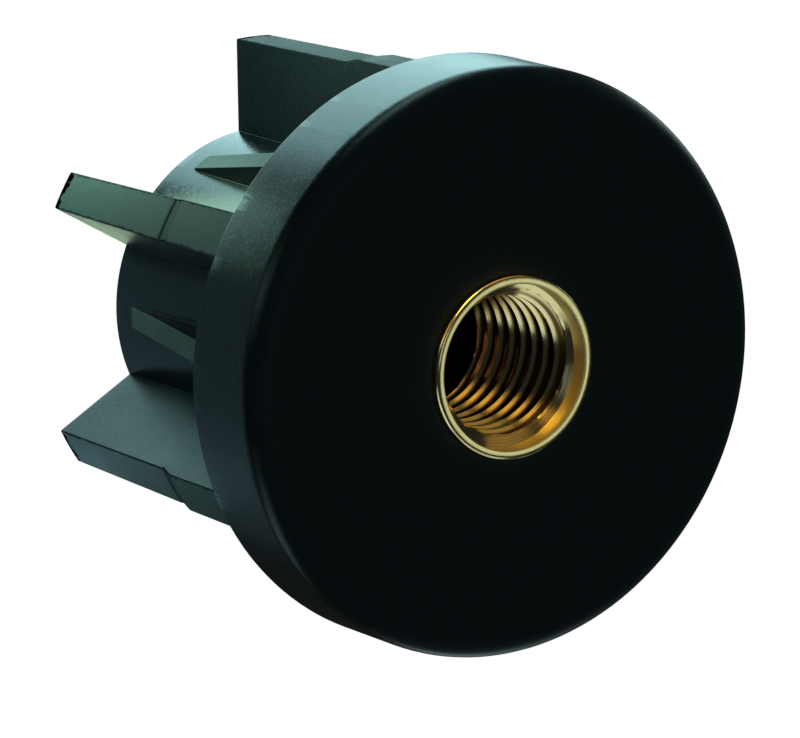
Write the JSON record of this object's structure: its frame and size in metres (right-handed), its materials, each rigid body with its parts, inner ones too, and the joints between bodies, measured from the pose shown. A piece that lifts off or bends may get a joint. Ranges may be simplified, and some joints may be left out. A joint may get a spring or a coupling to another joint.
{
  "type": "threaded insert end cap",
  "caption": "Round end cap for a tube: a thick rounded head, a finned plug with gussets, and a brass threaded insert in its middle for a levelling foot or caster stem.",
  "frame": {"origin": "on the thread's axis, in the plane where the head sits on the end of the tube", "axes": "+Z along the thread's axis, out of the face; +X along one fin"},
  "size_m": [0.06, 0.06, 0.0484],
  "materials": {
    "moulded_plastic": "black glass-filled nylon with a fine satin grain",
    "brass": "turned brass, bright on the ring and the thread"
  },
  "bodies": {
    "root": {"cap_body": "moulded_plastic", "threaded_insert": "brass"}
  },
  "joints": []
}
